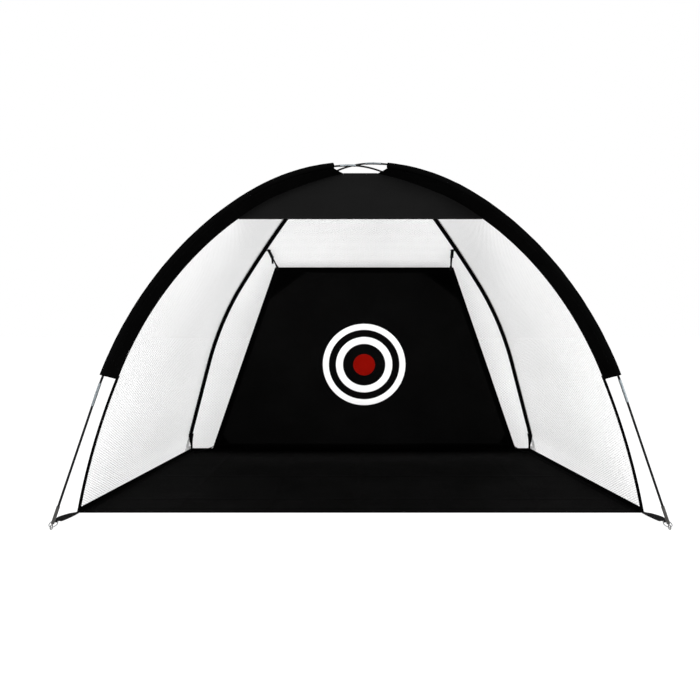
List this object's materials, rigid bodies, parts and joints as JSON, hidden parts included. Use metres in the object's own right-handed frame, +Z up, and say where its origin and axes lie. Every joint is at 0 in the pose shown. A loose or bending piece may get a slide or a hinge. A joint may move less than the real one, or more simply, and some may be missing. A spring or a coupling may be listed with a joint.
{
  "type": "golf chipping net",
  "caption": "Free-standing practice net for golf chip shots: crossed bowed poles hold up a net tent, open at the front, with a hanging ring target and a floor sheet.",
  "frame": {"origin": "on the ground under the middle of the net's outer size: mid-width and halfway between the front feet and the rear feet", "axes": "+Z up, the open front faces -Y, +X to the right as seen by a player who faces the opening"},
  "size_m": [2.081, 1.2175, 1.3932],
  "materials": {
    "black_cloth": "woven, dull",
    "net_mesh": "pale knotless mesh",
    "peak_cloth": "woven, dull",
    "pole_fibreglass": "satin",
    "ferrule_steel": "bright",
    "tip_steel": "dull",
    "ring_steel": "plated",
    "webbing": "woven webbing",
    "target_cloth": "woven, dull",
    "ring_white": "printed or sewn felt",
    "bull_red": "printed or sewn felt"
  },
  "bodies": {
    "tent": {"floor_sheet": "black_cloth", "floor_edge_tape": "black_cloth", "crown_patch": "black_cloth", "left_front_band": "black_cloth", "right_front_band": "black_cloth", "left_rear_sleeve": "black_cloth", "right_rear_sleeve": "black_cloth", "left_hem_tape": "black_cloth", "right_hem_tape": "black_cloth", "left_hang_loop": "black_cloth", "right_hang_loop": "black_cloth", "left_lower_tie": "black_cloth", "right_lower_tie": "black_cloth", "left_net": "net_mesh", "right_net": "net_mesh", "rear_net": "net_mesh", "peak_panel": "peak_cloth", "pole_a_1": "pole_fibreglass", "pole_a_2": "pole_fibreglass", "pole_a_3": "pole_fibreglass", "pole_a_4": "pole_fibreglass", "pole_a_5": "pole_fibreglass", "pole_a_6": "pole_fibreglass", "pole_a_7": "pole_fibreglass", "pole_a_8": "pole_fibreglass", "pole_b_1": "pole_fibreglass", "pole_b_2": "pole_fibreglass", "pole_b_3": "pole_fibreglass", "pole_b_4": "pole_fibreglass", "pole_b_5": "pole_fibreglass", "pole_b_6": "pole_fibreglass", "pole_b_7": "pole_fibreglass", "pole_b_8": "pole_fibreglass", "pole_a_ferrules": "ferrule_steel", "pole_b_ferrules": "ferrule_steel", "tip_front_left": "tip_steel", "tip_front_right": "tip_steel", "tip_rear_left": "tip_steel", "tip_rear_right": "tip_steel", "pin_front_left": "tip_steel", "pin_front_right": "tip_steel", "pin_rear_left": "tip_steel", "pin_rear_right": "tip_steel", "strap_front_left": "webbing", "strap_front_right": "webbing", "strap_rear_left": "webbing", "strap_rear_right": "webbing"},
    "target": {"target_sheet": "target_cloth", "target_hem": "target_cloth", "target_patches": "target_cloth", "target_outer_ring": "ring_white", "target_inner_ring": "ring_white", "target_bull": "bull_red", "left_upper_tie": "target_cloth", "right_upper_tie": "target_cloth"},
    "ring_front_left": {"ring_front_left": "ring_steel"},
    "ring_front_right": {"ring_front_right": "ring_steel"},
    "ring_rear_left": {"ring_rear_left": "ring_steel"},
    "ring_rear_right": {"ring_rear_right": "ring_steel"}
  },
  "joints": [
    {"name": "target_swing", "type": "hinge", "parent": "tent", "child": "target", "pos_m": [0, 0.28716, 1.045], "axis": [1, 0, 0], "range_deg": [0, 8], "deforming": ["left_lower_tie", "right_lower_tie"]},
    {"name": "ring_front_left_turn", "type": "hinge", "parent": "tent", "child": "ring_front_left", "pos_m": [-1.02553, -0.58888, 0.01595], "axis": [-0.0181, -0.5296, 0.848], "continuous": true},
    {"name": "ring_front_right_turn", "type": "hinge", "parent": "tent", "child": "ring_front_right", "pos_m": [1.02553, -0.58888, 0.01595], "axis": [0.0181, -0.5296, 0.848], "continuous": true},
    {"name": "ring_rear_left_turn", "type": "hinge", "parent": "tent", "child": "ring_rear_left", "pos_m": [-0.93098, 0.59418, 0.01595], "axis": [-0.4523, 0.2761, 0.848], "continuous": true},
    {"name": "ring_rear_right_turn", "type": "hinge", "parent": "tent", "child": "ring_rear_right", "pos_m": [0.93098, 0.59418, 0.01595], "axis": [0.4523, 0.2761, 0.848], "continuous": true}
  ]
}
